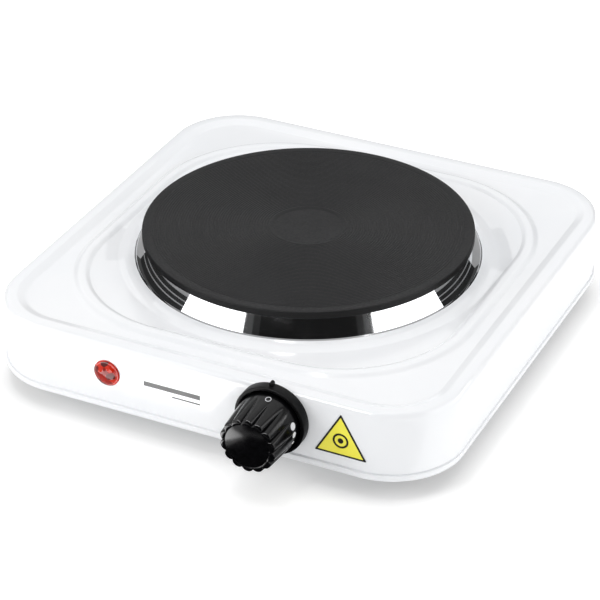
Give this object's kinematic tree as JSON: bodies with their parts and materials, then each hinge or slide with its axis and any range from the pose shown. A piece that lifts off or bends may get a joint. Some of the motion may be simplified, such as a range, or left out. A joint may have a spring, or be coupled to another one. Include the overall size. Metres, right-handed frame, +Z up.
{
  "type": "electric hotplate",
  "caption": "Single electric hotplate with a round cast iron cooking plate, square white enamelled case, rotary thermostat knob and pilot lamp.",
  "frame": {"origin": "middle of the footprint, on the worktop under the feet", "axes": "+Z up, front panel with the knob towards -Y, +X to the right of someone facing it"},
  "size_m": [0.2256, 0.256, 0.0566],
  "materials": {
    "white_enamel": "gloss white enamel on pressed steel",
    "base_steel": "galvanised steel sheet",
    "foot_rubber": "matt black rubber",
    "plated_steel": "zinc-plated steel",
    "cast_iron": "black seasoned iron with fine turned rings",
    "polished_steel": "mirror-polished stainless steel",
    "coil_alloy": "oxidised resistance wire",
    "cement": "porous magnesia cement",
    "white_ceramic": "glazed steatite",
    "black_plastic": "gloss black thermoset",
    "brass": "turned brass",
    "copper_alloy": "phosphor bronze spring strip",
    "silver_contact": "silver contact face",
    "red_lens": "clear red faceted plastic",
    "white_plastic": "heat-resisting nylon",
    "neon_glass": "clear glass",
    "resistor_body": "lacquered ceramic",
    "wire_brown": "brown silicone insulation",
    "wire_blue": "blue silicone insulation",
    "wire_green_yellow": "green and yellow insulation",
    "wire_white": "white glass-fibre insulation",
    "yellow_label": "yellow printed label"
  },
  "bodies": {
    "case": {"top_housing": "white_enamel", "base_plate": "base_steel", "foot_front_left": "foot_rubber", "foot_front_right": "foot_rubber", "foot_rear_left": "foot_rubber", "foot_rear_right": "foot_rubber", "base_screws": "plated_steel", "hob_plate": "cast_iron", "trim_ring": "polished_steel", "heating_coils": "coil_alloy", "coil_cement": "cement", "plate_pins": "coil_alloy", "plate_pin_beads": "white_ceramic", "plate_cover": "plated_steel", "centre_stud": "plated_steel", "clamp_bar": "plated_steel", "stud_washer": "plated_steel", "stud_nuts": "plated_steel", "heat_shield": "base_steel", "pin_clamps": "brass", "earth_tag": "brass", "knob_bezel": "black_plastic", "thermostat_bracket": "plated_steel", "thermostat_bush": "brass", "thermostat_screws": "plated_steel", "contact_leaf_tag": "brass", "fixed_blade": "brass", "bimetal_strip": "copper_alloy", "fixed_contact": "silver_contact", "bimetal_pin": "white_ceramic", "stack_insulator_front": "white_ceramic", "stack_insulator_middle": "white_ceramic", "stack_insulator_rear": "white_ceramic", "stack_rivet": "plated_steel", "live_connector": "white_plastic", "heater_connector": "white_plastic", "lamp_lens": "red_lens", "lamp_barrel": "white_plastic", "lamp_clip": "plated_steel", "neon_bulb": "neon_glass", "lamp_resistor": "resistor_body", "inlet_bush": "black_plastic", "terminal_block": "white_ceramic", "terminal_sleeves": "brass", "terminal_screws": "plated_steel", "block_screws": "plated_steel", "live_wire": "wire_brown", "heater_wire": "wire_brown", "neutral_wire": "wire_blue", "earth_wire": "wire_green_yellow", "lamp_lead_left": "wire_white", "lamp_lead_right": "wire_white", "front_label": "yellow_label"},
    "knob": {"knob": "black_plastic", "knob_spring_clip": "plated_steel", "thermostat_spindle": "plated_steel"},
    "push_pin": {"push_pin": "white_ceramic"},
    "contact_leaf": {"contact_leaf": "copper_alloy", "moving_contact": "silver_contact"}
  },
  "joints": [
    {"name": "knob_turn", "type": "hinge", "parent": "case", "child": "knob", "pos_m": [0.038, -0.1106, 0.03], "axis": [0, 1, 0], "range_deg": [0, 270]},
    {"name": "push_pin_slide", "type": "slide", "parent": "case", "child": "push_pin", "axis": [0, 1, 0], "range_m": [0, 0.00076]},
    {"name": "contact_leaf_bend", "type": "hinge", "parent": "case", "child": "contact_leaf", "pos_m": [0.0212, -0.0914, 0.03], "axis": [0, 0, 1], "range_deg": [0, 2.58]}
  ],
  "couplings": [
    {"joint": "push_pin_slide", "follows": "knob_turn", "m_per_rad": 0.00015915},
    {"joint": "contact_leaf_bend", "follows": "knob_turn", "ratio": 0.0094735}
  ]
}
